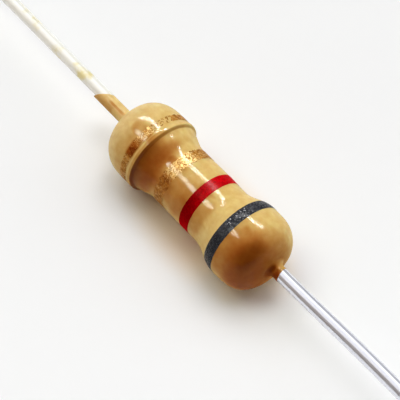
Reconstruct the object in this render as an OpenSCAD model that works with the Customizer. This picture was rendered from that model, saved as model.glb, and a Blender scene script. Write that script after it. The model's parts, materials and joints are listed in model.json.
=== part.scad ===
// Carbon film axial resistor, a quarter watt "dog bone", in millimetres.
// The axis runs along X through the middle of the ceramic rod. The end at +X is called the
// near end and the end at -X the far end. Everything is built outwards from the rod: film,
// pressed caps, welded leads, lacquer and last the printed colour bands.

/* [Ceramic core] */
// Diameter of the ceramic rod
core_d = 1.7; // [1.5:0.05:2.1]
// Length of the ceramic rod
core_l = 4.8; // [4.4:0.1:5.6]
// Chamfer round each end of the rod
core_chamfer = 0.08; // [0.04:0.01:0.12]

/* [Carbon film] */
// Thickness of the film, drawn far thicker than a deposited one so that it shows
film_t = 0.02; // [0.01:0.005:0.04]
// Width of the spiral kerf that trims the film to its value
kerf_w = 0.12; // [0.08:0.01:0.2]
// Distance along the rod from one turn of the kerf to the next
kerf_pitch = 0.42; // [0.32:0.02:0.8]
// Whole film left between a cap's rim and the kerf
kerf_margin = 0.25; // [0.15:0.05:0.45]

/* [End caps] */
// Wall of the pressed steel cap
cap_wall = 0.16; // [0.12:0.01:0.22]
// Thickness of the cap's closed end
cap_end_t = 0.2; // [0.14:0.01:0.26]
// Length of rod that the cap grips
cap_grip = 0.9; // [0.7:0.05:1.1]
// Outer radius of the cap's pressed corner
cap_corner_r = 0.3; // [0.2:0.02:0.36]

/* [Leads] */
// Diameter of the tinned copper wire
lead_d = 0.4; // [0.3:0.02:0.6]
// Length of each lead from the cap to its cut end
lead_l = 28.6; // [20:0.2:38]
// Diameter of the weld that joins the lead to the cap
weld_d = 0.78; // [0.66:0.02:0.9]
// Height of the weld
weld_h = 0.14; // [0.1:0.01:0.2]
// Length over which the weld's neck narrows to the wire
neck_l = 0.36; // [0.3:0.02:0.42]
// Chamfer left round the wire where it is cut
lead_chamfer = 0.04; // [0.01:0.01:0.08]

/* [Lacquer] */
// Lacquer over the film at the waist
waist_coat_t = 0.08; // [0.05:0.01:0.14]
// Lacquer over the cap where the end bulb is widest
bulb_coat_t = 0.17; // [0.12:0.01:0.24]
// How far behind the cap's end face the bulb is widest
crest_back = 0.545; // [0.44:0.005:0.6]
// Lacquer in front of the cap at the near end
near_cover = 0.51; // [0.46:0.01:0.7]
// Lacquer in front of the cap at the far end
far_cover = 0.51; // [0.46:0.01:0.8]
// Fullness of the near dome, where 2 is an ellipse
near_power = 2.8; // [2:0.05:3.4]
// Fullness of the far dome
far_power = 2.55; // [2:0.05:3.4]
// Length of the near shoulder on the waist's side of the cap's rim
near_run_in = 0.52; // [0.4:0.02:0.6]
// Length of the near shoulder on the cap's side of the cap's rim
near_run_out = 0.43; // [0.3:0.01:0.5]
// Length of the far shoulder on the waist's side of the cap's rim
far_run_in = 0.65; // [0.5:0.05:0.7]
// Length of the far shoulder on the cap's side of the cap's rim
far_run_out = 0.25; // [0.2:0.01:0.4]
// Width of the bead that the lacquer leaves over the far cap's rim
bead_w = 0.15; // [0.1:0.01:0.2]
// Height of that bead
bead_h = 0.008; // [0.004:0.002:0.03]
// Width of the crease beside the bead
crease_w = 0.07; // [0.05:0.01:0.1]
// Depth of that crease
crease_d = 0.04; // [0.02:0.005:0.06]

/* [Lacquer on the leads] */
// Radius at which the near dome turns into the fillet round its lead
near_foot_r = 0.36; // [0.32:0.02:0.5]
// Length of the fillet round the near lead
near_fillet_l = 0.26; // [0.18:0.02:0.6]
// Radius at which the far dome turns into the fillet round its lead
far_foot_r = 0.34; // [0.32:0.02:0.5]
// Length of the fillet round the far lead
far_fillet_l = 0.16; // [0.12:0.02:0.5]
// Length of the lacquer sleeve that runs on along the far lead
sleeve_l = 1.1; // [0.4:0.05:1.4]
// Thickness of that sleeve where it leaves the fillet
sleeve_t = 0.018; // [0.014:0.002:0.05]
// Thickness of the lacquer at its very edge on a lead
edge_t = 0.008; // [0.006:0.002:0.012]

/* [Colour bands] */
// Thickness of the printed paint
paint_t = 0.015; // [0.01:0.005:0.03]
// Width of the black band
black_w = 0.36; // [0.3:0.02:0.5]
// Distance from the near bulb's widest place to the middle of the black band
black_back = 0.26; // [0.2:0.01:0.35]
// Width of the red band
red_w = 0.38; // [0.3:0.01:0.5]
// Place of the red band's middle along the axis
red_x = 0.495; // [0.4:0.005:0.6]
// Width of the gold band on the waist
middle_gold_w = 0.44; // [0.3:0.02:0.56]
// Distance from the middle of the rod to the middle of that gold band
middle_gold_x = 0.585; // [0.4:0.005:0.7]
// Width of the gold band on the far bulb
end_gold_w = 0.27; // [0.2:0.01:0.32]
// Distance from the far bulb's widest place to the middle of its gold band
end_gold_back = 0.195; // [0.15:0.005:0.24]

/* [Hidden] */
$fn = 96;

// Steps of each dome, shoulder, fillet and corner arc, and of one turn of the kerf
dome_steps = 14;
shoulder_steps = 12;
fillet_steps = 6;
corner_steps = 6;
kerf_steps = 24;
// How far the kerf's cutter reaches past the film on both sides
cutter_reach = 0.08;
// Stations of the lacquer's outline closer to a band's edge than this are left out
station_gap = 0.012;

// Radii from the rod outwards
core_r = core_d / 2;
film_r = core_r + film_t;
cap_r = film_r + cap_wall;
waist_r = film_r + waist_coat_t;
bulb_r = cap_r + bulb_coat_t;
lead_r = lead_d / 2;
weld_r = weld_d / 2;

// Places along the axis, the same at both ends
cap_rim_x = core_l / 2 - cap_grip;
cap_face_x = core_l / 2 + cap_end_t;
crest_x = cap_face_x - crest_back;
lead_tip_x = cap_face_x + lead_l;

// The lacquer's outline: each dome, its shoulder and the waist between them
near_dome_l = near_cover + crest_back;
far_dome_l = far_cover + crest_back;
near_waist_x = cap_rim_x - near_run_in;
near_bulb_x = cap_rim_x + near_run_out;
far_waist_x = cap_rim_x - far_run_in;
far_bulb_x = cap_rim_x + far_run_out;
// The crease starts at the cap's rim and the bead lies behind it
crease_x = cap_rim_x;
bead_x = crease_x + crease_w;

function ease(t) = (1 - cos(180 * min(1, max(0, t)))) / 2;

// Radius of a shoulder, as a smooth step from the waist up to the bulb
function shoulder_r(x, from_x, to_x) =
    waist_r + (bulb_r - waist_r) * ease((x - from_x) / (to_x - from_x));

// A dome's radius at a distance past its widest place, and the reverse
function dome_r(d, length, power) = bulb_r * pow(max(0, 1 - pow(d / length, power)), 1 / power);
function dome_reach(r, length, power) = length * pow(1 - pow(r / bulb_r, power), 1 / power);

// A round bump of height 1 from 0 to 1, and a sharp notch of depth 1
function bump(t) = (t <= 0 || t >= 1) ? 0 : sin(180 * t);
function notch(t) = (t <= 0 || t >= 1) ? 0 : 1 - abs(2 * t - 1);

// Radius of the lacquer at distance x from the middle, towards either end
function near_r(x) =
    x > crest_x
    ? dome_r(x - crest_x, near_dome_l, near_power)
    : shoulder_r(x, near_waist_x, near_bulb_x);
function far_r(x) =
    x > crest_x
    ? dome_r(x - crest_x, far_dome_l, far_power)
    : shoulder_r(x, far_waist_x, far_bulb_x)
      + bead_h * bump((x - bead_x) / bead_w)
      - crease_d * notch((x - crease_x) / crease_w);
function skin_r(x) = x > 0 ? near_r(x) : far_r(-x);

// Places where the domes turn into the fillets on the leads
near_foot_x = crest_x + dome_reach(near_foot_r, near_dome_l, near_power);
far_foot_x = crest_x + dome_reach(far_foot_r, far_dome_l, far_power);

// Edges of the colour bands, low and high
black_edges = band_edges(crest_x - black_back, black_w);
red_edges = band_edges(red_x, red_w);
middle_gold_edges = band_edges(-middle_gold_x, middle_gold_w);
end_gold_edges = band_edges(-(crest_x - end_gold_back), end_gold_w);
all_edges = concat(black_edges, red_edges, middle_gold_edges, end_gold_edges);
function band_edges(middle, width) = [middle - width / 2, middle + width / 2];

// Stations of the lacquer's outline, in order along the axis. The lacquer and the bands on
// it share them, so that paint and lacquer meet face to face.
function dome_stations(reach) =
    [for (i = [0:dome_steps]) crest_x + reach * sin(90 * i / dome_steps)];
function run(from, to, steps) = [for (i = [0:steps]) from + (to - from) * i / steps];
function reversed(list) = [for (i = [len(list) - 1:-1:0]) list[i]];
function negated(list) = [for (value = list) -value];
function sorted(list) =
    len(list) < 2
    ? list
    : let (pivot = list[floor(len(list) / 2)])
      concat(
          sorted([for (value = list) if (value < pivot) value]),
          [pivot],
          sorted([for (value = list) if (value > pivot) value])
      );
near_curve = concat(
    run(near_waist_x, near_bulb_x, shoulder_steps),
    dome_stations(near_foot_x - crest_x)
);
far_curve = concat(
    run(far_waist_x, crease_x, shoulder_steps - 2),
    [crease_x + crease_w / 2],
    run(bead_x, bead_x + bead_w, fillet_steps),
    [far_bulb_x],
    dome_stations(far_foot_x - crest_x)
);
function clear_of_edges(list) =
    [for (x = list) if (min([for (edge = all_edges) abs(x - edge)]) > station_gap) x];
stations = sorted(concat(all_edges, clear_of_edges(concat(near_curve, negated(far_curve)))));
function stations_within(edges) = [for (x = stations) if (x >= edges[0] && x <= edges[1]) x];

// Outlines are lists of [radius, place along the axis]
function skin_points(list, extra = 0) = [for (x = list) [skin_r(x) + extra, x]];
function arc_points(centre, radius, from, to) =
    [for (i = [0:corner_steps]) let (a = from + (to - from) * i / corner_steps)
        centre + radius * [cos(a), sin(a)]];
function mirrored(points) = reversed([for (p = points) [p[0], -p[1]]]);

// A fillet of lacquer that leaves a dome steeply and dies out along the lead
function fillet_points(foot_x, foot_r, length, end_r) =
    [for (i = [1:fillet_steps]) let (a = 90 * i / fillet_steps)
        [foot_r - (foot_r - end_r) * sin(a), foot_x + length * (1 - cos(a))]];
near_fillet = fillet_points(near_foot_x, near_foot_r, near_fillet_l, lead_r + edge_t);
far_fillet = fillet_points(far_foot_x, far_foot_r, far_fillet_l, lead_r + sleeve_t);
near_coat_end_x = near_foot_x + near_fillet_l;
far_coat_end_x = far_foot_x + far_fillet_l + sleeve_l;
far_sleeve = concat(far_fillet, [[lead_r + edge_t, far_coat_end_x]]);

// The outside of a cap from its rim to the weld, and of a weld from the cap to the wire
cap_outside = concat(
    [[cap_r, cap_rim_x]],
    arc_points([cap_r - cap_corner_r, cap_face_x - cap_corner_r], cap_corner_r, 0, 90)
);
weld_top_x = cap_face_x + weld_h;
weld_outside = concat(
    [[weld_r, cap_face_x]],
    [for (i = [0:fillet_steps]) let (a = 90 * i / fillet_steps)
        [weld_r - (weld_r - lead_r) * sin(a), weld_top_x + neck_l * (1 - cos(a))]]
);

// What the lacquer lies against, from the film's middle out along one lead
function inside_half(end_x) = concat(
    [[film_r, cap_rim_x]],
    cap_outside,
    weld_outside,
    [[lead_r, end_x]]
);

// Turns an outline about the X axis
module turned(points) {
    rotate([0, 90, 0])
        rotate_extrude()
            polygon(points);
}

module at_far_end() {
    mirror([1, 0, 0])
        children();
}

// The spiral kerf as a solid: a rectangle swept along a helix through the film's wall
kerf_l = 2 * (cap_rim_x - kerf_margin) - kerf_w;
kerf_sections = ceil(kerf_steps * kerf_l / kerf_pitch);
function kerf_corner(section, side, radius) =
    let (along = section / kerf_sections, angle = 360 * along * kerf_l / kerf_pitch)
    [kerf_l * (along - 0.5) + side * kerf_w / 2, radius * cos(angle), radius * sin(angle)];
module kerf_solid() {
    low = core_r - cutter_reach;
    high = film_r + cutter_reach;
    points = [for (i = [0:kerf_sections])
        each [
            kerf_corner(i, -1, low), kerf_corner(i, 1, low),
            kerf_corner(i, 1, high), kerf_corner(i, -1, high)
        ]];
    sides = [for (i = [0:kerf_sections - 1], k = [0:3])
        let (a = 4 * i + k, b = 4 * i + (k + 1) % 4)
        each [[a, a + 4, b], [b, a + 4, b + 4]]];
    last = 4 * kerf_sections;
    polyhedron(points, concat([[0, 1, 2, 3]], sides, [[last + 3, last + 2, last + 1, last]]));
}

module ceramic_core() {
    color("white")
        turned([
            [0, -core_l / 2], [core_r - core_chamfer, -core_l / 2], [core_r, core_chamfer - core_l / 2],
            [core_r, core_l / 2 - core_chamfer], [core_r - core_chamfer, core_l / 2], [0, core_l / 2]
        ]);
}

module film_tube(half_l) {
    turned([[core_r, -half_l], [film_r, -half_l], [film_r, half_l], [core_r, half_l]]);
}

module carbon_film() {
    color("dimgray")
        difference() {
            film_tube(core_l / 2 - core_chamfer);
            kerf_solid();
        }
}

module end_cap() {
    color("silver")
        turned(concat(
            [[film_r, cap_rim_x]],
            cap_outside,
            [[0, cap_face_x], [0, core_l / 2], [film_r, core_l / 2]]
        ));
}

module near_end_cap() {
    end_cap();
}

module far_end_cap() {
    at_far_end()
        end_cap();
}

module lead() {
    color("gainsboro")
        turned(concat(
            [[0, cap_face_x]],
            weld_outside,
            [[lead_r, lead_tip_x - lead_chamfer], [lead_r - lead_chamfer, lead_tip_x], [0, lead_tip_x]]
        ));
}

module near_lead() {
    lead();
}

module far_lead() {
    at_far_end()
        lead();
}

module lacquer_coat() {
    color("burlywood") {
        turned(concat(
            mirrored(far_sleeve),
            skin_points(stations),
            near_fillet,
            reversed(inside_half(near_coat_end_x)),
            reversed(mirrored(inside_half(far_coat_end_x)))
        ));
        intersection() {
            film_tube(cap_rim_x);
            kerf_solid();
        }
    }
}

// A printed band: a skin of paint on the lacquer between two edges
module band(edges) {
    list = stations_within(edges);
    turned(concat(skin_points(list), reversed(skin_points(list, paint_t))));
}

module black_band() {
    color([0.15, 0.17, 0.2])
        band(black_edges);
}

module red_band() {
    color("crimson")
        band(red_edges);
}

module middle_gold_band() {
    color("goldenrod")
        band(middle_gold_edges);
}

module end_gold_band() {
    color("goldenrod")
        band(end_gold_edges);
}

ceramic_core();
carbon_film();
near_end_cap();
far_end_cap();
near_lead();
far_lead();
lacquer_coat();
black_band();
red_band();
middle_gold_band();
end_gold_band();
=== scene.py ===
# %% [markdown]
# # A quarter watt axial resistor
# The real part is a ceramic rod with a film of carbon on it, a pressed cap and a wire on each
# end, and a coat of tan lacquer over all of it with four printed bands. Only the lacquer, the
# bands and the wires show. The CAD model gives the sizes and the places. This script dresses
# it: it remakes the outer pieces as finer meshes, with the small unevenness of a dipped coat,
# and gives every piece a finish.

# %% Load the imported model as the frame
import json
import math
import bmesh
import bpy
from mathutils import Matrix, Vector


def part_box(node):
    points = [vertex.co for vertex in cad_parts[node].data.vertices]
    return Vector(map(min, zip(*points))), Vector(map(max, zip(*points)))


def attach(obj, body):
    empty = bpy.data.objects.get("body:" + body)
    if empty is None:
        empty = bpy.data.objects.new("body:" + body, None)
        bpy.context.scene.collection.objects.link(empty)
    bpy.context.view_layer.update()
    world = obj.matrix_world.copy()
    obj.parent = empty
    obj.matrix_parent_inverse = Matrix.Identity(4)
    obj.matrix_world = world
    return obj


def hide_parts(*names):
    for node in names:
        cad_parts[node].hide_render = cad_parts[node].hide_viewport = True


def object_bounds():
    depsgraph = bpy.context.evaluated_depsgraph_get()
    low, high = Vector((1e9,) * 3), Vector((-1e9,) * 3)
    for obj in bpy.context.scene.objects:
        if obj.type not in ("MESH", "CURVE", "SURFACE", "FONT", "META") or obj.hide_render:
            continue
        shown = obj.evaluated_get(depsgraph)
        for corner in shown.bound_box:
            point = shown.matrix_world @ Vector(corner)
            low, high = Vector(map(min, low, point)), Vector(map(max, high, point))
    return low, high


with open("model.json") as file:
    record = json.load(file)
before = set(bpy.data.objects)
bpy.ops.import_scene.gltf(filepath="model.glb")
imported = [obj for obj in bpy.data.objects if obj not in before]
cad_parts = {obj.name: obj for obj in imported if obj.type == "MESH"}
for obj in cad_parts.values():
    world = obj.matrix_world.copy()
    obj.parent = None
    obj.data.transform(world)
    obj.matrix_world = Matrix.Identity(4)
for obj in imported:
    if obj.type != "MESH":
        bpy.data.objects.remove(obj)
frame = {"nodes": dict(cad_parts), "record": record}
cad_low, cad_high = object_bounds()
print("CAD box in mm:", [round(1000 * side, 3) for side in cad_high - cad_low])

# %% [markdown]
# ## Sizes
# Every length below is in millimetres, as on the maker's drawing, and is turned into metres
# only where an operator needs it. What the imported model can say is measured from its pieces,
# so that the new skin lies where the CAD one does. Most of the rest repeats the values of the
# part's own source. A few small ones are set here, and each is marked where it stands: the
# groove behind the brim, the paint's thickness, the near dome's foot, the coat's ends on the
# wires and the far wire.

# %% Measure the imported pieces
MM = 0.001


def box_mm(node):
    """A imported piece's lowest and highest corner, in millimetres."""
    low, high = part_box(node)
    return Vector(low) / MM, Vector(high) / MM


cap_low, cap_high = box_mm("near_end_cap")
FILM_R = box_mm("carbon_film")[1].z
CAP_R = cap_high.z
CAP_RIM_X = cap_low.x
CAP_FACE_X = cap_high.x
COAT_NEAR_X = box_mm("lacquer_coat")[1].x
LEAD_TIP_X = cad_high.x / MM
LEAD_R = frame["record"]["mounts"][0]["dims"]["r_mm"]
print(f"film r {FILM_R:.3f}, cap r {CAP_R:.3f}, wire r {LEAD_R}")
print(f"cap from its rim at {CAP_RIM_X:.2f} to its face at {CAP_FACE_X:.2f}")

# %% Sizes of the lacquer coat
WAIST_COAT = 0.08
BULB_COAT = 0.17
CREST_BACK = 0.545
DOME_COVER = 0.51
NEAR_POWER, FAR_POWER = 2.8, 2.55
NEAR_RUN = (0.52, 0.43)
FAR_RUN = (0.65, 0.25)
BEAD_W, BEAD_H = 0.15, 0.008
CREASE_W, CREASE_D = 0.07, 0.04
FAR_FOOT_R = 0.34
FAR_FILLET_L = 0.16
SLEEVE_T = 0.018
EDGE_T = 0.008
# Set here: the source's crease is a short notch, its near foot is a little narrower and its
# paint is thicker
GROOVE_FADE = 0.3
NEAR_FOOT_R = 0.39
PAINT_T = 0.005

WAIST_R = FILM_R + WAIST_COAT
BULB_R = CAP_R + BULB_COAT
CREST_X = CAP_FACE_X - CREST_BACK
DOME_L = DOME_COVER + CREST_BACK
print(f"waist r {WAIST_R:.3f}, bulb r {BULB_R:.3f}, crest at {CREST_X:.3f}")

# %% [markdown]
# ## Camera
# A long lens from close by. The part lies level and points down to the right, with its near
# end about 24 degrees out of the picture's plane. The camera comes first because everything
# later is judged through it.

# %% Place the camera
CAMERA_AZIMUTH = math.radians(50)
CAMERA_ELEVATION = math.radians(58)
CAMERA_DISTANCE = 41.4
LENS = 135
SENSOR = 36
AIM_RIGHT, AIM_UP = 0.002, -0.200

camera_back = Vector((
    math.sin(CAMERA_AZIMUTH) * math.cos(CAMERA_ELEVATION),
    -math.cos(CAMERA_AZIMUTH) * math.cos(CAMERA_ELEVATION),
    math.sin(CAMERA_ELEVATION),
))
camera_right = Vector((math.cos(CAMERA_AZIMUTH), math.sin(CAMERA_AZIMUTH), 0))
camera_up = camera_back.cross(camera_right)
aim = camera_right * AIM_RIGHT + camera_up * AIM_UP
bpy.ops.object.camera_add(location=(aim + camera_back * CAMERA_DISTANCE) * MM)
camera = bpy.context.object
camera.name = "camera"
camera.rotation_mode = "QUATERNION"
camera.rotation_quaternion = camera_back.to_track_quat("Z", "Y")
camera.data.lens = LENS
camera.data.sensor_width = SENSOR
camera.data.clip_start = 1 * MM
camera.data.clip_end = 10
bpy.context.scene.camera = camera
print("camera at", [round(value / MM, 2) for value in camera.location])

# %% [markdown]
# ## Floor and lamps
# The part lies on a plain pale sheet. Two sorts of lamp share the work. Soft panels behind it,
# overhead and to either side fall on matt surfaces only and give the shadow its shape. A row of
# five window panes behind it and one to the left are seen only in the glossy coat, where they
# leave the bright streaks. Two large dim panels are seen only in the wires, so that these stay
# pale and don't glare.

# %% Lay the floor
FLOOR_SIDE = 4000
FLOOR_DROP = 0.003
bpy.ops.mesh.primitive_plane_add(
    size=FLOOR_SIDE * MM, location=(0, 0, cad_low.z - FLOOR_DROP * MM)
)
floor = bpy.context.object
floor.name = "floor"
print("floor at", round(floor.location.z / MM, 3))


# %% Hang the lamps
LAMP_DISTANCE = 400


def direction_to(azimuth, elevation):
    """The direction from the part to a place in the room, from two angles in degrees."""
    azimuth, elevation = math.radians(azimuth), math.radians(elevation)
    return Vector((
        math.cos(azimuth) * math.cos(elevation),
        math.sin(azimuth) * math.cos(elevation),
        math.sin(elevation),
    ))


def panel(
    name, azimuth, elevation, width, height, strength,
    tint=(1, 1, 1), lights=True, shines=True,
):
    """A soft rectangular lamp that faces the part. Width and height are degrees as seen from it.

    A lamp that lights falls on matt surfaces, and one that shines shows in glossy ones.
    """
    direction = direction_to(azimuth, elevation)
    bpy.ops.object.light_add(type="AREA", location=direction * LAMP_DISTANCE * MM)
    lamp = bpy.context.object
    lamp.name = name
    lamp.rotation_mode = "QUATERNION"
    lamp.rotation_quaternion = direction.to_track_quat("Z", "Y")
    lamp.data.shape = "RECTANGLE"
    lamp.data.size = 2 * LAMP_DISTANCE * MM * math.tan(math.radians(width / 2))
    lamp.data.size_y = 2 * LAMP_DISTANCE * MM * math.tan(math.radians(height / 2))
    area = lamp.data.size * lamp.data.size_y
    lamp.data.energy = strength * area * math.pi
    lamp.data.color = tint
    lamp.visible_diffuse = lights
    lamp.visible_glossy = shines
    return lamp


window_light = panel("window_light", 165, 50, 26, 24, 2.8, shines=False)
back_light = panel("back_light", 112, 54, 22, 22, 2.1, shines=False)
top_light = panel("top_light", 150, 75, 30, 30, 1.1, shines=False)
high_light = panel("high_light", 90, 75, 30, 30, 3.2, shines=False)
left_light = panel("left_light", -142, 62, 26, 26, 3.4, tint=(0.95, 1.0, 0.8), shines=False)
panel("right_light", 60, 45, 30, 30, 0.45, shines=False)
PANE_W, PANE_H, PANE_STRENGTH = 12, 9, 70
PANES = ((162, 45), (148, 49), (134, 52), (116, 54), (97, 53))
panes = [
    panel(f"pane_{number + 1}", *place, PANE_W, PANE_H, PANE_STRENGTH, lights=False)
    for number, place in enumerate(PANES)
]
wire_window = panel("wire_window", 130, 51, 80, 13, 0.9, lights=False)
wire_sky = panel("wire_sky", 176, 72, 70, 56, 0.78, lights=False)
side_window = panel("side_window", -138, 56, 14, 11, 52, tint=(0.92, 1.0, 0.92), lights=False)
print("seen in the coat:", ", ".join(lamp.name for lamp in (*panes, side_window)))

# %% [markdown]
# ## The room
# Round the lamps is a dark room that glows in six soft patches, so that the wires have a dark
# side, a bluish one and a warm one. The world is a tree of nodes, as every finish further down
# is. Short helpers keep such trees readable: they add a node with its sockets filled in.


# %% Helpers for node trees
def add(tree, kind, inputs=None, **settings):
    """Adds a node. Each input is a number, a colour or another node's output."""
    made = tree.nodes.new("ShaderNode" + kind)
    for title, value in settings.items():
        setattr(made, title, value)
    for title, value in (inputs or {}).items():
        if isinstance(value, bpy.types.NodeSocket):
            tree.links.new(value, made.inputs[title])
        else:
            made.inputs[title].default_value = value
    return made


def math_node(tree, operation, *values):
    """A Math node's output. Each value is a number or an output."""
    return add(tree, "Math", dict(enumerate(values)), operation=operation).outputs["Value"]


def vector_node(tree, operation, *values):
    """A Vector Math node's outputs, Vector and Value. Each value is a vector or an output."""
    return add(tree, "VectorMath", dict(enumerate(values)), operation=operation).outputs


def facing_to(tree, vector, direction):
    """How nearly a vector points in a direction, where 1 is straight at it."""
    return vector_node(tree, "DOT_PRODUCT", vector, direction)["Value"]


# %% Set the world
GLOWS = (
    (60, 20, (0.93, 0.93, 0.93)),
    (90, 55, (0.44, 0.44, 0.44)),
    (-150, 20, (0.94, 0.69, 0.51)),
    (180, 20, (0.0, 0.14, 0.60)),
    (130, 20, (0.11, 0.11, 0.11)),
    (-110, 55, (0.05, 0.05, 0.05)),
)
GLOW_POWER = 6
room = bpy.data.worlds.new("room")
room.use_nodes = True
bpy.context.scene.world = room
tree = room.node_tree
view = add(tree, "TexCoord").outputs["Generated"]
glowing = (0, 0, 0)
for azimuth, elevation, colour in GLOWS:
    lit = math_node(tree, "MAXIMUM", facing_to(tree, view, direction_to(azimuth, elevation)), 0)
    narrowed = math_node(tree, "POWER", lit, GLOW_POWER)
    glow = vector_node(tree, "MULTIPLY", narrowed, colour)["Vector"]
    glowing = vector_node(tree, "ADD", glow, glowing)["Vector"]
tree.links.new(glowing, tree.nodes["Background"].inputs["Color"])
tree.nodes["Background"].inputs["Strength"].default_value = 1
bpy.context.scene.view_settings.view_transform = "Standard"
print("the room glows in", len(GLOWS), "patches")

# %% [markdown]
# ## Turning on a lathe
# A body of revolution starts as one filled circle. It is extruded along the axis again and
# again, and each new ring is scaled to the outline's radius there. That is how a potter or a
# turner would build it, and it leaves clean rings that later steps can pick by their place.

# %% Helpers for picking and turning
def only(piece):
    """Makes this piece the one that is selected and active."""
    bpy.ops.object.select_all(action="DESELECT")
    piece.select_set(True)
    bpy.context.view_layer.objects.active = piece


def pick(piece, test):
    """In edit mode, selects the faces whose middle, in millimetres, passes the test."""
    bpy.ops.mesh.select_mode(type="FACE")
    bpy.ops.mesh.select_all(action="DESELECT")
    mesh = bmesh.from_edit_mesh(piece.data)
    for face in mesh.faces:
        face.select_set(test(face.calc_center_median() / MM))
    bmesh.update_edit_mesh(piece.data)


def turn(name, outline, sides, middle):
    """A closed body of revolution about X. The outline is a list of (x, radius), in millimetres.

    The function middle gives each ring's own middle in Y, so that a body can lean off the axis.
    """
    x, radius = outline[0]
    bpy.ops.object.select_all(action="DESELECT")
    bpy.ops.mesh.primitive_circle_add(
        vertices=sides, radius=radius * MM, fill_type="NGON",
        location=(x * MM, middle(x) * MM, 0), rotation=(0, math.pi / 2, 0),
    )
    piece = bpy.context.object
    piece.name = name
    bpy.ops.object.transform_apply(location=True, rotation=True, scale=True)
    bpy.ops.object.mode_set(mode="EDIT")
    bpy.ops.mesh.select_all(action="SELECT")
    for next_x, next_radius in outline[1:]:
        step = Vector((next_x - x, middle(next_x) - middle(x), 0)) * MM
        bpy.ops.mesh.extrude_region_move(TRANSFORM_OT_translate={"value": step})
        growth = next_radius / radius
        ring_middle = Vector((next_x, middle(next_x), 0)) * MM
        bpy.ops.transform.resize(value=(1, growth, growth), center_override=ring_middle)
        x, radius = next_x, next_radius
    bpy.ops.mesh.select_all(action="SELECT")
    bpy.ops.mesh.normals_make_consistent(inside=False)
    bpy.ops.object.mode_set(mode="OBJECT")
    return piece


# %% The lacquer's outline
def ease(t):
    """A smooth step from 0 to 1."""
    return (1 - math.cos(math.pi * min(1, max(0, t)))) / 2


def dome_r(distance, power):
    """Radius of a dome at a distance past its widest place."""
    return BULB_R * max(0, 1 - (distance / DOME_L) ** power) ** (1 / power)


def dome_reach(radius, power):
    """How far past its widest place a dome has come down to this radius."""
    return DOME_L * (1 - (radius / BULB_R) ** power) ** (1 / power)


def shoulder_r(distance, run):
    """Radius of a shoulder at a distance from the middle."""
    start, end = CAP_RIM_X - run[0], CAP_RIM_X + run[1]
    return WAIST_R + (BULB_R - WAIST_R) * ease((distance - start) / (end - start))


def hump(t):
    """A round hump of height 1 from 0 to 1."""
    return math.sin(math.pi * t) ** 2 if 0 < t < 1 else 0


def groove(t):
    """A groove of depth 1 at a distance past its steep side. It runs out slowly."""
    return 1 - ease((t - CREASE_W) / GROOVE_FADE)


def skin_r(x):
    """Radius of the lacquer at x."""
    distance = abs(x)
    if x > 0:
        return dome_r(x - CREST_X, NEAR_POWER) if x > CREST_X else shoulder_r(x, NEAR_RUN)
    if distance > CREST_X:
        return dome_r(distance - CREST_X, FAR_POWER)
    brim = CAP_RIM_X + CREASE_W
    if distance > brim:
        return BULB_R + BEAD_H * hump((distance - brim) / BEAD_W)
    below = shoulder_r(distance, FAR_RUN) - CREASE_D * groove(brim - distance)
    return below + (BULB_R - below) * (1 - ease((brim - distance) / CREASE_W))


near_foot_x = CREST_X + dome_reach(NEAR_FOOT_R, NEAR_POWER)
far_foot_x = CREST_X + dome_reach(FAR_FOOT_R, FAR_POWER)
print(f"feet of the domes at {near_foot_x:.3f} and {-far_foot_x:.3f}")

# %% Stations along the coat
BAND_NODES = ("black_band", "red_band", "middle_gold_band", "end_gold_band")
band_edges = {node: (box_mm(node)[0].x, box_mm(node)[1].x) for node in BAND_NODES}
STEP = 0.05
FINE_STEP = 0.01
PAST_RIM = 0.05
DOME_STEPS = 26
FILLET_STEPS = 8


def spaced(start, end, step):
    """Places from start to end, about a step apart."""
    count = max(1, round(abs(end - start) / step))
    return [start + (end - start) * index / count for index in range(count + 1)]


def body_stations():
    """Every place along the axis where the coat gets a ring."""
    dome_angles = [math.pi / 2 * index / DOME_STEPS for index in range(1, DOME_STEPS + 1)]
    near = [CREST_X + (near_foot_x - CREST_X) * math.sin(angle) for angle in dome_angles]
    far = [-CREST_X - (far_foot_x - CREST_X) * math.sin(angle) for angle in dome_angles]
    crease = spaced(-CAP_RIM_X - CREASE_W - BEAD_W, -CAP_RIM_X + PAST_RIM, FINE_STEP)
    plain = spaced(-CREST_X, CREST_X, STEP)
    edges = [edge for pair in band_edges.values() for edge in pair]
    fixed = edges + crease
    free = [x for x in near + far + plain if min(abs(x - other) for other in fixed) > FINE_STEP]
    return sorted(set(fixed + free))


stations = body_stations()
print(len(stations), "rings on the body")

# %% The coat's ends on the wires
# Set here: the source has straight ends, a longer near fillet and no tail
SLEEVE_SLANT, TAIL_SLANT = 1.05, 0.2
SLEEVE_END = -4.27
NEAR_FILLET_L = 0.18
TAIL_EXTRA = 0.04
TAIL_END = COAT_NEAR_X + TAIL_EXTRA
END_ROOM = 0.25
INTO_WIRE = 0.03
HIDDEN_R = LEAD_R - INTO_WIRE


def fillet(foot_x, foot_r, length, end_r):
    """A fillet that leaves a dome steeply and dies out along the wire, towards +X."""
    angles = [math.pi / 2 * index / FILLET_STEPS for index in range(1, FILLET_STEPS + 1)]
    return [
        (foot_x + length * (1 - math.cos(angle)), foot_r - (foot_r - end_r) * math.sin(angle))
        for angle in angles
    ]


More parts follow.
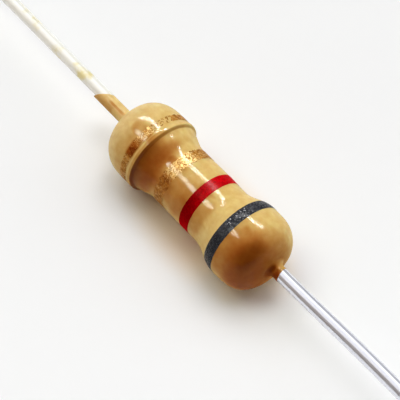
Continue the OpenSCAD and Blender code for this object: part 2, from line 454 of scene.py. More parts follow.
near_fillet = fillet(near_foot_x, NEAR_FOOT_R, NEAR_FILLET_L, LEAD_R + EDGE_T)
near_fillet += [(TAIL_END, LEAD_R + EDGE_T), (TAIL_END, HIDDEN_R)]
far_fillet = fillet(far_foot_x, FAR_FOOT_R, FAR_FILLET_L, LEAD_R + SLEEVE_T)
far_fillet = [(-x, radius) for x, radius in reversed(far_fillet)]
sleeve_start = -far_foot_x - FAR_FILLET_L
sleeve = [(SLEEVE_END, HIDDEN_R), (SLEEVE_END, LEAD_R + SLEEVE_T)]
sleeve += [(x, LEAD_R + SLEEVE_T) for x in spaced(SLEEVE_END + END_ROOM, sleeve_start, STEP)[:-1]]
coat_outline = sleeve + far_fillet + [(x, skin_r(x)) for x in stations] + near_fillet
print(len(coat_outline), "rings on the whole coat")
print("sleeve from", SLEEVE_END, "to", round(sleeve_start, 3))
print("near edge at", round(TAIL_END, 3))

# %% [markdown]
# ## The coat
# The lacquer is one skin from the tip of the sleeve on the far wire to the edge on the near
# one, so it is turned as one piece. Then it gets what dipping does to it. It sits a little off
# the wires' line, it fills part of the groove behind the brim, both ends stop on the slant, and
# the whole skin is very slightly wavy.

# %% Turn the coat, a little off the wires' line
LEAN_MIDDLE = -0.056
LEAN_SLOPE = -0.0075
LEAN_FADE = (2.8, 3.2)
COAT_SIDES = 160


def lean(x):
    """How far the dipped coat's middle sits off the wires' line at x, in Y."""
    fade = 1 - ease((abs(x) - LEAN_FADE[0]) / (LEAN_FADE[1] - LEAN_FADE[0]))
    return (LEAN_MIDDLE + LEAN_SLOPE * x) * fade


coat = turn("coat", coat_outline, COAT_SIDES, lean)
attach(coat, "root")
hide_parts("lacquer_coat")
print("coat:", len(coat.data.polygons), "faces")

# %% Fill the groove behind the brim on the upper side
FILL = 0.02
FILL_FROM, FILL_OVER = -0.1, 0.5
brim_x = -(CAP_RIM_X + CREASE_W)
only(coat)
filled = coat.vertex_groups.new(name="filled")
for vertex in coat.data.vertices:
    place = vertex.co / MM
    past = place.x - brim_x
    if -BEAD_W < past < CREASE_W + GROOVE_FADE:
        upper = ease((place.y / BULB_R - FILL_FROM) / FILL_OVER)
        amount = ease((past + BEAD_W) / BEAD_W) * groove(past)
        filled.add([vertex.index], upper * amount, "REPLACE")
fill = coat.modifiers.new("fill", "DISPLACE")
fill.vertex_group = "filled"
fill.strength = FILL * MM
fill.mid_level = 0
bpy.ops.object.modifier_apply(modifier="fill")
coat.vertex_groups.clear()
print("groove filled by up to", FILL)

# %% Set both ends of the coat on the slant
SLEEVE_RISE = Vector((0, 0.93, 0.37))
TAIL_RISE = Vector((0, -0.98, -0.2))
SAME_PLACE = 0.001


def slant_end(piece, x, slant, rise):
    """Turns the end ring at x on the slant, and widens it again to lie round on the wire.

    The ring then goes further along the axis on the side of rise.
    """
    middle = (x * MM, 0, 0)
    to_y = math.atan2(rise.z, rise.y)
    root_two = math.sqrt(2)
    only(piece)
    bpy.ops.object.mode_set(mode="EDIT")
    bpy.ops.mesh.select_mode(type="VERT")
    bpy.ops.mesh.select_all(action="DESELECT")
    mesh = bmesh.from_edit_mesh(piece.data)
    for vertex in mesh.verts:
        vertex.select_set(abs(vertex.co.x / MM - x) < SAME_PLACE)
    bmesh.update_edit_mesh(piece.data)
    bpy.ops.transform.rotate(value=to_y, orient_axis="X", center_override=middle)
    bpy.ops.transform.rotate(value=math.pi / 4, orient_axis="Z", center_override=middle)
    bpy.ops.transform.resize(value=(slant * root_two, root_two, 1), center_override=middle)
    bpy.ops.transform.rotate(value=-to_y, orient_axis="X", center_override=middle)
    bpy.ops.object.mode_set(mode="OBJECT")


slant_end(coat, SLEEVE_END, SLEEVE_SLANT, SLEEVE_RISE)
slant_end(coat, TAIL_END, TAIL_SLANT, TAIL_RISE)
ends = [vertex.co.x / MM for vertex in coat.data.vertices]
print("coat from", round(min(ends), 2), "to", round(max(ends), 2))

# %% Make the coat a little wavy
WAVE_SIZE = 0.9
WAVE_HEIGHT = 0.02
WAVE_FADE = (2.9, 3.3)
wave = bpy.data.textures.new("slow_wave", "CLOUDS")
wave.noise_scale = WAVE_SIZE * MM
wave.noise_depth = 1
only(coat)
wavy = coat.vertex_groups.new(name="wavy")
for vertex in coat.data.vertices:
    past = abs(vertex.co.x) / MM - WAVE_FADE[0]
    wavy.add([vertex.index], 1 - ease(past / (WAVE_FADE[1] - WAVE_FADE[0])), "REPLACE")
waves = coat.modifiers.new("waves", "DISPLACE")
waves.texture = wave
waves.texture_coords = "LOCAL"
waves.vertex_group = "wavy"
waves.strength = WAVE_HEIGHT * MM
waves.mid_level = 0.5
bpy.ops.object.modifier_apply(modifier="waves")
coat.vertex_groups.clear()
print("waves", WAVE_SIZE, "long and", WAVE_HEIGHT, "high from trough to crest")

# %% [markdown]
# ## The bands
# A printed band is a film of paint that follows the lacquer exactly. Each one is therefore a
# copy of the coat's own skin between its two edges, made as thick as paint. The coat already
# has rings at those edges, so the cut is clean. An attribute keeps the place across the band,
# from -1 to 1, for the ragged edges that the paint gets later.

# %% Bands cut from the coat's own skin
def band(name, node):
    """Copies the coat's skin between a band's two edges and gives it the paint's thickness."""
    low, high = band_edges[node]
    only(coat)
    bpy.ops.object.duplicate()
    piece = bpy.context.object
    piece.name = name
    for key in [key for key in piece.keys() if key.startswith("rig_")]:
        del piece[key]
    bpy.ops.object.mode_set(mode="EDIT")
    pick(piece, lambda middle: not low < middle.x < high or middle.yz.length < LEAD_R)
    bpy.ops.mesh.delete(type="FACE")
    bpy.ops.object.mode_set(mode="OBJECT")
    across = piece.data.attributes.new("across", "FLOAT", "POINT")
    for index, vertex in enumerate(piece.data.vertices):
        across.data[index].value = (2 * vertex.co.x / MM - low - high) / (high - low)
    thick = piece.modifiers.new("paint", "SOLIDIFY")
    thick.thickness = 2 * PAINT_T * MM
    thick.offset = 0
    bpy.ops.object.modifier_apply(modifier="paint")
    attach(piece, "root")
    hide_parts(node)
    return piece


black = band("black_paint_band", "black_band")
red = band("red_paint_band", "red_band")
middle_gold = band("gold_paint_band", "middle_gold_band")
end_gold = band("gold_paint_end_band", "end_gold_band")

bands = (black, red, middle_gold, end_gold)
print("bands:", ", ".join(f"{piece.name} {len(piece.data.polygons)}" for piece in bands))

# %% [markdown]
# ## The wires
# Each wire is one turned rod that starts at its cap inside the coat. It drifts a little off its
# line, and its free end is squeezed to a wedge, as side cutters leave a cut wire.

# %% Turn the two wires
PINCH_L, PINCH_FLAT, PINCH_STEPS = 0.35, 0.3, 6
# Set here: a touch thinner than in the source
FAR_WIRE_R = 0.186
TIP_CHAMFER = 0.02
NEAR_SWAY, FAR_SWAY = 0.065, 0.03
SWAY_FROM = 3.2
NEAR_SWAY_L, FAR_SWAY_L = 4.2, 0.8
SWAY_STEP = 0.35
WIRE_SIDES = 48


def wire_outline(radius):
    """One wire from its cap to its tip, with rings where it sways and where it is pinched."""
    sway_rings = spaced(SWAY_FROM, SWAY_FROM + NEAR_SWAY_L, SWAY_STEP)
    tip_rings = spaced(LEAD_TIP_X - PINCH_L, LEAD_TIP_X, PINCH_L / PINCH_STEPS)
    rings = [(x, radius) for x in [CAP_FACE_X] + sway_rings + tip_rings]
    rings[-1] = (LEAD_TIP_X, radius - TIP_CHAMFER)
    return rings


def near_sway(x):
    """How far the near wire has drifted off its line. A wire straightened by hand is never true."""
    return NEAR_SWAY * ease((x - SWAY_FROM) / NEAR_SWAY_L)


def far_sway(x):
    """The same for the far wire, which drifts at once."""
    return FAR_SWAY * ease((-x - SWAY_FROM) / FAR_SWAY_L)


far_outline = [(-x, radius) for x, radius in wire_outline(FAR_WIRE_R)]
near_wire = turn("near_wire", wire_outline(LEAD_R), WIRE_SIDES, near_sway)
far_wire = turn("far_wire", far_outline, WIRE_SIDES, far_sway)
for piece, node in ((near_wire, "near_lead"), (far_wire, "far_lead")):
    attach(piece, "root")
    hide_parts(node)
print("wires:", len(near_wire.data.polygons), "faces each")


# %% Pinch the free ends
def pinch(piece):
    """Squeezes the free end to a wedge, ring by ring."""
    only(piece)
    bpy.ops.object.mode_set(mode="EDIT")
    bpy.ops.mesh.select_mode(type="VERT")
    for index in range(1, PINCH_STEPS + 1):
        x = LEAD_TIP_X - PINCH_L * (1 - index / PINCH_STEPS)
        bpy.ops.mesh.select_all(action="DESELECT")
        mesh = bmesh.from_edit_mesh(piece.data)
        for vertex in mesh.verts:
            vertex.select_set(abs(abs(vertex.co.x) / MM - x) < SAME_PLACE)
        bmesh.update_edit_mesh(piece.data)
        flat = 1 - (1 - PINCH_FLAT) * ease(index / PINCH_STEPS)
        bpy.ops.transform.resize(value=(1, 1, flat), center_override=(0, 0, 0))
    bpy.ops.object.mode_set(mode="OBJECT")


for piece in (near_wire, far_wire):
    pinch(piece)
tip_thickness = 2 * (LEAD_R - TIP_CHAMFER) * PINCH_FLAT
print("tips", PINCH_L, "long, and the near one", round(tip_thickness, 3), "thick at its end")

# %% Smooth the pieces
SHARP = math.radians(45)
for piece in (coat, *bands, near_wire, far_wire):
    only(piece)
    bpy.ops.object.shade_smooth_by_angle(angle=SHARP)
print("edges steeper than", round(math.degrees(SHARP)), "degrees stay sharp")

# %% [markdown]
# ## Which lamp reaches which piece
# Real lamps light everything, and thin bright wires then glare and throw shadows as dark as the
# body's. The lamps are therefore linked to pieces, as a photographer works with small flags.
# Blockers are the only pieces that stop a lamp's light, and receivers the only ones that it
# falls on. Only the body stops the lamps behind and overhead, and only the body and the far
# wire stop the left one. Which piece should stop which lamp was found by trial, until the near
# wire had a soft shadow and the far wire none.


# %% Link the lamps
def collection(name, pieces):
    """A collection for light linking. It holds the pieces and isn't part of the scene."""
    made = bpy.data.collections.new(name)
    for piece in pieces:
        made.objects.link(piece)
    return made


body = collection("body", (coat, *bands))
body_and_far_wire = collection("body_and_far_wire", (coat, *bands, far_wire))
wires = collection("wires", (near_wire, far_wire))
for lamp in (window_light, back_light, top_light, high_light):
    lamp.light_linking.blocker_collection = body
left_light.light_linking.blocker_collection = body_and_far_wire
for lamp in (*panes, side_window):
    lamp.light_linking.receiver_collection = body
for lamp in (wire_window, wire_sky):
    lamp.light_linking.receiver_collection = wires

# %% [markdown]
# ## Tools for materials
# Every finish is worked out from the place on the part, so the patterns keep their real size.
# More helpers start a material with the numbers that are the same all over it, read a place or
# a direction, and give noise in lumps to the millimetre. An effect that more than one material
# needs is a node group.


# %% Helpers for materials
def start_material(name, **numbers):
    """A material with a Principled BSDF, and what is the same all over set on its own sockets."""
    material = bpy.data.materials.new(name)
    material.use_nodes = True
    shader = material.node_tree.nodes["Principled BSDF"]
    for title, value in numbers.items():
        shader.inputs[title.replace("_", " ")].default_value = value
    return material, material.node_tree, shader


def connect(tree, shader, **values):
    """Feeds the shader's sockets with what changes over the surface."""
    for title, value in values.items():
        tree.links.new(value, shader.inputs[title.replace("_", " ")])


def start_group(name, inputs, outputs):
    """A node group. Each input is a title with its usual value, and each output one with a kind."""
    group = bpy.data.node_groups.new(name, "ShaderNodeTree")
    for title, value in inputs.items():
        socket = group.interface.new_socket(title, in_out="INPUT", socket_type="NodeSocketFloat")
        socket.default_value = value
    for title, kind in outputs.items():
        group.interface.new_socket(title, in_out="OUTPUT", socket_type="NodeSocket" + kind)
    given = group.nodes.new("NodeGroupInput")
    result = group.nodes.new("NodeGroupOutput")
    return group, given.outputs, result.inputs


def use(tree, group, **inputs):
    """Places a group in a material with its own values."""
    placed = tree.nodes.new("ShaderNodeGroup")
    placed.node_tree = group
    for title, value in inputs.items():
        placed.inputs[title.replace("_", " ")].default_value = value
    return placed.outputs


def coordinate(tree, kind, axis=None):
    """The place on the part (Object) or the way the skin faces (Normal), or one axis of it."""
    value = add(tree, "TexCoord").outputs[kind]
    return add(tree, "SeparateXYZ", {"Vector": value}).outputs[axis] if axis else value


def mix_colour(tree, factor, first, second, blend="MIX"):
    """A Mix node for colours."""
    made = tree.nodes.new("ShaderNodeMix")
    made.data_type = "RGBA"
    made.blend_type = blend
    for title, value in (("Factor_Float", factor), ("A_Color", first), ("B_Color", second)):
        socket = next(item for item in made.inputs if item.identifier == title)
        if isinstance(value, bpy.types.NodeSocket):
            tree.links.new(value, socket)
        else:
            socket.default_value = value if title == "Factor_Float" else (*value, 1)
    return next(item for item in made.outputs if item.identifier == "Result_Color")


def step_between(tree, value, low, high, to_low=0.0, to_high=1.0):
    """A smooth step from one value to another as the input goes from low to high."""
    made = add(tree, "MapRange", {
        "Value": value, "From Min": low, "From Max": high, "To Min": to_low, "To Max": to_high,
    }, interpolation_type="SMOOTHSTEP")
    return made.outputs["Result"]


def noise(tree, per_mm, detail=2.0, roughness=0.5, stretch=(1, 1, 1)):
    """Noise with so many lumps to a millimetre."""
    place = coordinate(tree, "Object")
    scaled = add(tree, "Mapping", {"Vector": place, "Scale": stretch}).outputs["Vector"]
    made = add(tree, "TexNoise", {
        "Vector": scaled, "Scale": per_mm / MM, "Detail": detail, "Roughness": roughness,
    })
    return made.outputs["Fac"]


def bumped(tree, height, normal=None, strength=0.6, reach=0.02):
    """The normal from a Bump node. Its reach is in millimetres."""
    made = add(tree, "Bump", {"Height": height, "Strength": strength, "Distance": reach * MM})
    if normal is not None:
        tree.links.new(normal, made.inputs["Normal"])
    return made.outputs["Normal"]


# %% Group: ripples of a dipped skin
SLOW_PER_MM, DIMPLES_PER_MM, PEEL_PER_MM = 3.2, 7.0, 16.0
DIMPLE_SHARE, PEEL_SHARE = 0.3, 0.12
ripple, ripple_in, ripple_out = start_group(
    "skin_ripple", {"Ripple": 1.0, "Peel": 1.0}, {"Height": "Float"}
)
slow = math_node(ripple, "MULTIPLY", noise(ripple, SLOW_PER_MM, detail=1.0), ripple_in["Ripple"])
dimple = math_node(ripple, "MULTIPLY", noise(ripple, DIMPLES_PER_MM, detail=1.0), DIMPLE_SHARE)
dimple = math_node(ripple, "MULTIPLY", dimple, ripple_in["Ripple"])
peel = math_node(ripple, "MULTIPLY", noise(ripple, PEEL_PER_MM, detail=1.0), PEEL_SHARE)
peel = math_node(ripple, "MULTIPLY", peel, ripple_in["Peel"])
height = math_node(ripple, "ADD", math_node(ripple, "ADD", slow, dimple), peel)
ripple.links.new(height, ripple_out["Height"])
print(ripple.name, "has", len(ripple.nodes), "nodes")

# %% Group: flakes and grit in a paint
FLAKES_PER_MM = 40
MIDDLE_GREY = (0.5, 0.5, 0.5)
flakes, flakes_in, flakes_out = start_group(
    "paint_flakes", {"Tilt": 0.5}, {"Shade": "Float", "Normal": "Vector"}
)
cells = add(flakes, "TexVoronoi", {
    "Vector": coordinate(flakes, "Object"), "Scale": FLAKES_PER_MM / MM, "Randomness": 1.0,
}).outputs["Color"]
parts = add(flakes, "SeparateColor", {"Color": cells}).outputs
flakes.links.new(parts["Red"], flakes_out["Shade"])
centred_cell = vector_node(flakes, "SUBTRACT", cells, MIDDLE_GREY)["Vector"]
tilt = add(flakes, "VectorMath", {
    0: centred_cell, "Scale": flakes_in["Tilt"],
}, operation="SCALE").outputs["Vector"]
skin = add(flakes, "NewGeometry").outputs["Normal"]
tilted = vector_node(flakes, "ADD", skin, tilt)["Vector"]
flakes.links.new(vector_node(flakes, "NORMALIZE", tilted)["Vector"], flakes_out["Normal"])
print(flakes.name, "has", len(flakes.nodes), "nodes")

# %% Group: the edge of a printed band
edge, edge_in, edge_out = start_group(
    "printed_edge", {"Start": 0.9, "Ragged": 0.1}, {"Mask": "Float"}
)
across = add(edge, "Attribute", attribute_name="across").outputs["Fac"]
wander = math_node(edge, "SUBTRACT", noise(edge, 9.0, detail=3.0, roughness=0.7), 0.5)
wandering = math_node(edge, "MULTIPLY", wander, edge_in["Ragged"])
distance = math_node(edge, "ADD", math_node(edge, "ABSOLUTE", across), wandering)
inside = math_node(edge, "LESS_THAN", distance, edge_in["Start"])
edge.links.new(inside, edge_out["Mask"])
print(edge.name, "has", len(edge.nodes), "nodes")

# %% [markdown]
# ## Painted shade on the lacquer
# This group paints shade into the lacquer's colour. It says how strongly each place is shaded
# and where it is darkest. It adds up the side that faces away from the lamps, the groove behind
# the brim, deeper amber on the near neck, the -Y side of the necks and a few spots, with a random
# mottle of the lacquer's own tone, and it takes the shade off some stretches again.

# %% Helpers for the painted shade
# Painted shade is strongest where the skin faces this way, away from the lamps.
SHADED_SIDE = (0.776, -0.50, 0.388)
# A painted dark reflection on the near bulb is centred on this direction.
DARK_REFLECTION_SIDE = (0.61, -0.46, 0.64)
# A painted darker line runs along the part where the skin faces this way.
UPPER_LINE = (0.0, -0.28, 0.96)
# The group's first output says how strongly each place is shaded, with the random mottle in it, and
# its second where the painted shade is darkest.
shade_and_mottle, shade_and_mottle_in, shade_and_mottle_out = start_group(
    "lacquer_painted_shade_and_mottle", {"Streak": 1.0}, {"Depth": "Float", "Dark": "Float"}
)
facing = coordinate(shade_and_mottle, "Normal")
along = coordinate(shade_and_mottle, "Object", "X")
sideways = coordinate(shade_and_mottle, "Normal", "Y")


def along_step(low, high, to_low=0.0, to_high=1.0):
    """A smooth step along the part, from one place in millimetres to another."""
    return step_between(shade_and_mottle, along, low * MM, high * MM, to_low, to_high)


def side_step(low, high):
    """A smooth step round the part, from -1 on the -Y side, away from most lamps, to 1 on +Y."""
    return step_between(shade_and_mottle, sideways, low, high)


def near_direction(direction, low, high):
    """How nearly the skin faces a direction, as a smooth step."""
    return step_between(shade_and_mottle, facing_to(shade_and_mottle, facing, direction), low, high)


def lumps(per_mm, detail=2.0):
    """Noise in the lacquer, half of it below 0 and half of it above."""
    return math_node(shade_and_mottle, "SUBTRACT", noise(shade_and_mottle, per_mm, detail=detail), 0.5)


def product(*values):
    """The product of several values in the group."""
    total = values[0]
    for value in values[1:]:
        total = math_node(shade_and_mottle, "MULTIPLY", total, value)
    return total


# %% Painted shade on the side away from the lamps, less some stretches
# Painted shade on the side away from the lamps, with a random wander at its edge.
towards = facing_to(shade_and_mottle, facing, SHADED_SIDE)
drift = product(lumps(1.6), 0.3)
shaded_side_mask = step_between(shade_and_mottle, math_node(shade_and_mottle, "ADD", towards, drift), 0.32, 0.9)
# Stretches where the painted shade is weakened or taken off again.
unshaded_waist = product(along_step(0.3, 0.9), along_step(1.7, 1.8, 0.4, 0.0))
unshaded_far_bulb = along_step(brim_x - 0.02, brim_x + 0.03, 0.55, 0.0)
unshaded_brim = product(
    along_step(brim_x - 0.02, brim_x + 0.02),
    along_step(brim_x + 0.1, brim_x + 0.5, 0.7, 0.0),
    side_step(-0.35, 0.1),
)
unshaded_near_top = product(along_step(2.2, 2.8), side_step(-0.35, 0.2), 0.55)
unshaded_sleeve = along_step(-3.15, -3.3, 0.0, 0.9)
for unshaded in (unshaded_waist, unshaded_far_bulb, unshaded_brim, unshaded_near_top, unshaded_sleeve):
    shaded_side_mask = product(shaded_side_mask, math_node(shade_and_mottle, "SUBTRACT", 1.0, unshaded))

# %% Painted shade in places, deeper amber at the near neck, and a random mottle
last_low, last_high = band_edges["end_gold_band"]
# Painted shade in the groove behind the brim, and in the crease at its steep side.
groove_shade = product(
    along_step(brim_x - 0.02, brim_x + 0.01),
    along_step(brim_x + 0.08, brim_x + 0.45, 1.0, 0.0),
    side_step(0.0, -0.45),
)
crease_shade = product(
    along_step(brim_x, brim_x + 0.03),
    along_step(brim_x + 0.05, brim_x + 0.09, 1.0, 0.0),
    side_step(-0.4, 0.1),
)
# The near neck is made deeper amber. Painted shade on the -Y side of the near neck, of the far tip
# and of the end band.
near_neck = along_step(near_foot_x - 0.08, near_foot_x + 0.1)
under_neck = product(along_step(near_foot_x + 0.11, near_foot_x + 0.24), side_step(0.1, -0.5))
under_tip = product(along_step(-3.62, -3.74), side_step(0.0, -0.8))
under_last_band = product(
    along_step(last_low - 0.05, last_low + 0.05),
    along_step(last_high - 0.05, last_high + 0.05, 1.0, 0.0),
    side_step(-0.40, -0.64),
    side_step(-0.86, -0.75),
)
# A painted dark reflection on the near bulb.
dark_reflection_spot = product(near_direction(DARK_REFLECTION_SIDE, 0.86, 0.99), along_step(1.9, 2.1))
# A painted darker line along the top, broken up by noise; the group's input scales it.
shade_streak = product(
    near_direction(UPPER_LINE, 0.972, 0.998),
    step_between(shade_and_mottle, noise(shade_and_mottle, 1.3, detail=1.0), 0.4, 0.6, 0.0, 0.4),
    shade_and_mottle_in["Streak"],
)
mottle = product(lumps(5.0, detail=4.0), 0.36)

# %% How strong the painted shade is, and where it is darkest
shade_and_mottle_total = shaded_side_mask
for more in (
    product(groove_shade, 0.15), product(near_neck, 0.2), product(under_neck, 0.6),
    product(under_tip, 0.2), product(under_last_band, 0.6), product(dark_reflection_spot, 0.16),
    shade_streak, mottle,
):
    shade_and_mottle_total = math_node(shade_and_mottle, "ADD", shade_and_mottle_total, more)
shade_and_mottle.links.new(shade_and_mottle_total, shade_and_mottle_out["Depth"])
dark = product(groove_shade, 0.65)
for more in (product(dark_reflection_spot, 0.6), product(crease_shade, 0.45), product(near_neck, 0.1)):
    dark = math_node(shade_and_mottle, "ADD", dark, more)
shade_and_mottle.links.new(dark, shade_and_mottle_out["Dark"])
print(shade_and_mottle.name, "has", len(shade_and_mottle.nodes), "nodes")

# %% [markdown]
# ## The finishes
# The lacquer is tan, with brown painted shade on the near bulb, on the side away from the lamps
# and in the groove behind the brim. The shade group says how strong the shade is, and the colour
# is multiplied by a shade tint to that power. The paints are films with flakes in them, and the
# gold one is worn. The near wire is clean and bright, and the far one has a yellowish film.


# %% A colour with the painted shade and mottle
# The tint of the darkest painted shade.
DARKEST_SHADE_TINT = (0.56, 0.66, 0.5)


def shaded_and_mottled(tree, colour, shade_tint, shade_streak=1.0):
    """A colour with painted shade, times a shade tint to the power of the shade and mottle."""
    lacquer_shade = use(tree, shade_and_mottle, Streak=shade_streak)
    through = add(tree, "Gamma", {
        "Color": (*shade_tint, 1), "Gamma": lacquer_shade["Depth"],
    }).outputs["Color"]
    seen = mix_colour(tree, 1.0, colour, through, "MULTIPLY")
    darkest = mix_colour(tree, 1.0, seen, DARKEST_SHADE_TINT, "MULTIPLY")
    return mix_colour(tree, lacquer_shade["Dark"], seen, darkest)


# %% Tan lacquer
TAN, FAR_TAN = (0.70, 0.478, 0.16), (0.69, 0.49, 0.19)
# The tint of the lacquer's painted shade.
TAN_SHADE_TINT = (0.475, 0.18, 0.068)
lacquer, tree, shader = start_material(
    "tan_lacquer", Roughness=0.4, Specular_IOR_Level=0.0,
    Subsurface_Weight=0.2, Subsurface_Radius=(1.0, 0.4, 0.12), Subsurface_Scale=0.3 * MM,
    Coat_Roughness=0.11, Coat_IOR=1.3,
)
along = coordinate(tree, "Object", "X")
far_wet = step_between(tree, along, -3.0 * MM, -3.2 * MM, 0.38, 0.15)
near_wet = step_between(tree, along, 2.95 * MM, 3.1 * MM, 1.0, 0.35)
far_end = step_between(tree, along, -1.9 * MM, -2.6 * MM)
connect(
    tree, shader,
    Base_Color=shaded_and_mottled(tree, mix_colour(tree, far_end, TAN, FAR_TAN), TAN_SHADE_TINT),
    Coat_Weight=math_node(tree, "MULTIPLY", far_wet, near_wet),
    Normal=bumped(tree, use(tree, ripple, Ripple=1.9)["Height"]),
)
coat.data.materials.append(lacquer)
print(lacquer.name, "has", len(tree.nodes), "nodes")

# %% Black paint
BLACK, BLACK_GRIT = (0.014, 0.0145, 0.019), (0.08, 0.08, 0.09)
# The white of the painted sheen and the grey of the painted glints.
BLACK_SHEEN, BLACK_GLINT = (1.0, 1.0, 1.0), (0.75, 0.75, 0.77)
LIT_SIDE = (0.0, -0.17, 0.985)
black_paint, tree, shader = start_material(
    "black_paint", Roughness=0.28, Specular_IOR_Level=0.055,
    Coat_Weight=0.08, Coat_Roughness=0.12, Coat_IOR=1.3,
)
sparkle = use(tree, flakes, Tilt=0.85)
grit = step_between(tree, sparkle["Shade"], 0.8, 1.0)
sideways = coordinate(tree, "Normal", "Y")
# A painted sheen: the black is a little lighter in a band round its -Y side.
sheen = math_node(
    tree, "MULTIPLY",
    step_between(tree, sideways, -0.2, -0.36),
    step_between(tree, sideways, -0.72, -0.54, 0.0, 0.022),
)
# Painted glints: light specks in the colour on the side that faces the lamps.
top = facing_to(tree, coordinate(tree, "Normal"), LIT_SIDE)
specks = step_between(tree, noise(tree, 21.0, detail=1.0), 0.66, 0.74)
glints = math_node(tree, "MULTIPLY", step_between(tree, top, 0.86, 0.96), specks)
shade = mix_colour(tree, grit, BLACK, BLACK_GRIT)
shade = mix_colour(tree, sheen, shade, BLACK_SHEEN)
shade = mix_colour(tree, glints, shade, BLACK_GLINT)
connect(
    tree, shader, Base_Color=shade,
    Normal=bumped(tree, use(tree, ripple)["Height"], sparkle["Normal"]),
    Alpha=use(tree, edge, Start=0.97, Ragged=0.08)["Mask"],
)
black.data.materials.append(black_paint)
print(black_paint.name, "has", len(tree.nodes), "nodes")

# %% Red paint
RED_DEEP, RED_BRIGHT = (0.40, 0.0004, 0.002), (0.66, 0.001, 0.006)
# The tint of the red's painted shade.
RED_SHADE_TINT = (0.25, 0.12, 0.08)
red_paint, tree, shader = start_material(
    "red_paint", Roughness=0.5, Specular_IOR_Level=0.0, Coat_Roughness=0.24, Coat_IOR=1.3,
)
sideways = coordinate(tree, "Normal", "Y")
sparkle = use(tree, flakes, Tilt=0.8)
shade = mix_colour(tree, sparkle["Shade"], RED_DEEP, RED_BRIGHT)
connect(
    tree, shader,
    Base_Color=shaded_and_mottled(tree, shade, RED_SHADE_TINT, shade_streak=0.1),
    Coat_Weight=step_between(tree, sideways, -0.4, -0.1, 0.01, 0.12),
    Normal=bumped(tree, use(tree, ripple, Peel=3.0)["Height"], sparkle["Normal"]),
    Alpha=use(tree, edge, Start=0.97, Ragged=0.08)["Mask"],
)
red.data.materials.append(red_paint)
print(red_paint.name, "has", len(tree.nodes), "nodes")

# %% Gold paint: its flakes, with a painted highlight on the lit side
GOLD_WORN, GOLD_FRESH = (0.31, 0.115, 0.014), (0.58, 0.28, 0.06)
# The colour of the bright flakes, of which there are more on the lit side as a painted highlight.
GOLD_GLITTER = (0.80, 0.585, 0.25)
# The tint of the gold's painted shade.
GOLD_SHADE_TINT = (0.8, 0.55, 0.35)
gold_paint, tree, shader = start_material(
    "gold_paint", Roughness=0.45, Specular_IOR_Level=0.0,
    Coat_Weight=0.2, Coat_Roughness=0.1, Coat_IOR=1.3,
)
glitter = use(tree, flakes, Tilt=0.45)
place = coordinate(tree, "Object")
sideways = coordinate(tree, "Normal", "Y")
last_band = step_between(tree, coordinate(tree, "Object", "X"), -1.2 * MM, -1.4 * MM)
top = facing_to(tree, coordinate(tree, "Normal"), LIT_SIDE)
# Painted highlight: more of the flakes are bright where the paint faces the lit side.
painted_highlight = math_node(
    tree, "MULTIPLY",
    step_between(tree, top, 0.78, 0.95),
    math_node(tree, "MULTIPLY_ADD", last_band, -0.2, 0.38),
)
clumps = math_node(tree, "MULTIPLY", noise(tree, 11.0), 0.8)
flake = math_node(tree, "ADD", math_node(tree, "MULTIPLY", glitter["Shade"], 0.6), clumps)
flakes_and_highlight = math_node(tree, "ADD", flake, painted_highlight)
# On the end band there are fewer bright flakes, fewer still on its +Y side, and more in a band on
# its -Y side as a painted highlight.
highlight_band = math_node(
    tree, "MULTIPLY",
    step_between(tree, sideways, -0.68, -0.55),
    step_between(tree, sideways, 0.0, -0.14, -0.22, 0.1),
)
fewer_flakes_and_highlight = math_node(tree, "MULTIPLY", last_band, math_node(tree, "ADD", -0.03, highlight_band))
bright = step_between(tree, math_node(tree, "ADD", flakes_and_highlight, fewer_flakes_and_highlight), 0.85, 1.2)
patches = step_between(tree, noise(tree, 9.0, detail=3.0, roughness=0.65), 0.35, 0.65)
shade = mix_colour(tree, patches, GOLD_WORN, GOLD_FRESH)
shade = mix_colour(tree, bright, shade, GOLD_GLITTER)
shade = shaded_and_mottled(tree, shade, GOLD_SHADE_TINT, shade_streak=0.3)

# %% Gold paint: painted shade on its -Y side, and where it is rubbed off
GOLD_SIDE_SHADE = (0.6, 0.34, 0.14)
RUBBED_SIDE = (0.0, 0.153, 0.988)
OFF_THE_AXIS = (0.0, 1.0, 1.0)
# Painted shade: the gold is browner on its -Y side, away from most lamps, most on the end band.
under_last = math_node(
    tree, "MULTIPLY",
    step_between(tree, sideways, -0.40, -0.66),
    step_between(tree, sideways, -0.86, -0.75),
)
under_middle = math_node(
    tree, "MULTIPLY",
    step_between(tree, sideways, -0.5, -0.62),
    step_between(tree, sideways, -0.82, -0.7, 0.0, 0.5),
)
side_shade_mask = math_node(
    tree, "ADD",
    math_node(tree, "MULTIPLY", under_last, last_band),
    math_node(tree, "MULTIPLY", under_middle, math_node(tree, "SUBTRACT", 1.0, last_band)),
)
gold_in_shade = mix_colour(tree, 1.0, shade, GOLD_SIDE_SHADE, "MULTIPLY")
outward = vector_node(tree, "MULTIPLY", place, OFF_THE_AXIS)["Vector"]
outward = vector_node(tree, "NORMALIZE", outward)["Vector"]
ridge = step_between(tree, facing_to(tree, outward, RUBBED_SIDE), 0.935, 0.975)
rubbed = math_node(tree, "MULTIPLY", ridge, last_band)
bare_below = math_node(tree, "ADD", math_node(tree, "MULTIPLY", rubbed, 0.2), 0.36)
scraps = math_node(tree, "GREATER_THAN", noise(tree, 14.0), bare_below)
printed = use(tree, edge, Start=0.85, Ragged=0.7)["Mask"]
connect(
    tree, shader,
    Base_Color=mix_colour(tree, side_shade_mask, shade, gold_in_shade),
    Metallic=math_node(tree, "MULTIPLY", bright, 0.15),
    Normal=glitter["Normal"],
    Alpha=math_node(tree, "MULTIPLY", printed, scraps),
)
for piece in (middle_gold, end_gold):
    piece.data.materials.append(gold_paint)
print(gold_paint.name, "has", len(tree.nodes), "nodes")

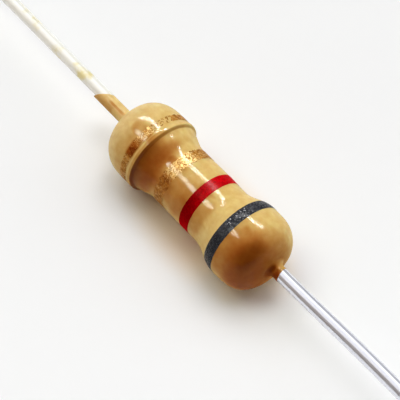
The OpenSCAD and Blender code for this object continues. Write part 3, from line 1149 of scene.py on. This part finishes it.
# %% Tinned wire
TIN_CLEAN, TIN_FILMED = (0.88, 0.895, 0.975), (0.97, 0.955, 0.88)
TIN_SPECK, TIN_DRAWN = (0.86, 0.74, 0.34), (0.7, 0.7, 0.7)
ALONG_THE_WIRE = (0.04, 1, 1)
tin, tree, shader = start_material("tinned_wire")
drawn = noise(tree, 14.0, stretch=ALONG_THE_WIRE)
filmed = step_between(tree, coordinate(tree, "Object", "X"), 2 * MM, -4 * MM)
specks = step_between(tree, noise(tree, 1.8, detail=3.0), 0.54, 0.70, 0.0, 0.9)
specks = math_node(tree, "MULTIPLY", filmed, specks)
shade = mix_colour(tree, filmed, TIN_CLEAN, TIN_FILMED)
shade = mix_colour(tree, specks, shade, TIN_SPECK)
shade = mix_colour(tree, math_node(tree, "MULTIPLY", drawn, 0.2), shade, TIN_DRAWN, "MULTIPLY")
connect(
    tree, shader, Base_Color=shade,
    Metallic=math_node(tree, "MULTIPLY_ADD", filmed, -0.56, 0.72),
    Roughness=step_between(tree, drawn, 0.3, 0.7, 0.14, 0.26),
    Normal=bumped(tree, drawn, strength=0.3, reach=0.004),
)
for piece in (near_wire, far_wire):
    piece.data.materials.append(tin)
print(tin.name, "has", len(tree.nodes), "nodes")

# %% [markdown]
# ## The pieces under the lacquer
# The rod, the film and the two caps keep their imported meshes. Nothing of them shows here, but
# they get a finish too, so that the part can be taken apart on screen.

# %% Ceramic, carbon and plated steel
ceramic, tree, shader = start_material("ceramic", Roughness=0.75, Specular_IOR_Level=0.3)
grain = noise(tree, 30.0, detail=3.0)
connect(
    tree, shader,
    Base_Color=mix_colour(tree, grain, (0.74, 0.73, 0.69), (0.82, 0.81, 0.78)),
    Normal=bumped(tree, grain, strength=0.3, reach=0.01),
)

carbon, tree, shader = start_material("carbon_film", Specular_IOR_Level=0.6)
cloud = noise(tree, 4.0, detail=3.0)
connect(
    tree, shader,
    Base_Color=mix_colour(tree, cloud, (0.035, 0.033, 0.032), (0.075, 0.07, 0.066)),
    Roughness=step_between(tree, cloud, 0.3, 0.7, 0.3, 0.5),
)

steel, tree, shader = start_material("plated_steel", Metallic=1.0)
scuffs = noise(tree, 12.0, detail=4.0, roughness=0.7)
connect(
    tree, shader,
    Base_Color=mix_colour(tree, scuffs, (0.58, 0.57, 0.54), (0.7, 0.69, 0.66)),
    Roughness=step_between(tree, scuffs, 0.3, 0.7, 0.22, 0.42),
)

INSIDE = {
    "ceramic_core": ceramic, "carbon_film": carbon, "near_end_cap": steel, "far_end_cap": steel,
}
for node, material in INSIDE.items():
    hidden_piece = frame["nodes"][node]
    hidden_piece.data.materials.clear()
    hidden_piece.data.materials.append(material)
print("finishes inside:", ", ".join(INSIDE))

# %% [markdown]
# ## The sheet
# The sheet is matt and nearly white, a touch darker towards the back. Close to the body it is
# given a painted warm shade, such as light that comes off tan lacquer leaves on a pale sheet.

# %% The sheet that it lies on
SHEET_FRONT, SHEET_BACK = (0.91, 0.912, 0.918), (0.868, 0.87, 0.876)
SHEET_WARM_SHADE = (1.0, 0.88, 0.74)
TO_THE_BACK = (-0.766, 0.643, 0)
WARM_MIDDLE, WARM_LENGTHWISE = 0.3, 0.55
sheet, tree, shader = start_material("sheet", Roughness=1.0, Specular_IOR_Level=0.0)
place = coordinate(tree, "Object")
tone = step_between(tree, facing_to(tree, place, TO_THE_BACK), -5 * MM, 5 * MM)
shade = mix_colour(tree, tone, SHEET_FRONT, SHEET_BACK)
from_middle = vector_node(tree, "SUBTRACT", place, (WARM_MIDDLE * MM, 0.0, 0.0))["Vector"]
lengthwise = vector_node(tree, "MULTIPLY", from_middle, (WARM_LENGTHWISE, 1.0, 0.0))["Vector"]
# Painted warm shade on the sheet close to the body.
warm_shade = step_between(tree, vector_node(tree, "LENGTH", lengthwise)["Value"], 2.0 * MM, 1.0 * MM)
warm_shaded = mix_colour(tree, 1.0, shade, SHEET_WARM_SHADE, "MULTIPLY")
connect(tree, shader, Base_Color=mix_colour(tree, warm_shade, shade, warm_shaded))
floor.data.materials.append(sheet)
print(sheet.name, "has", len(tree.nodes), "nodes")
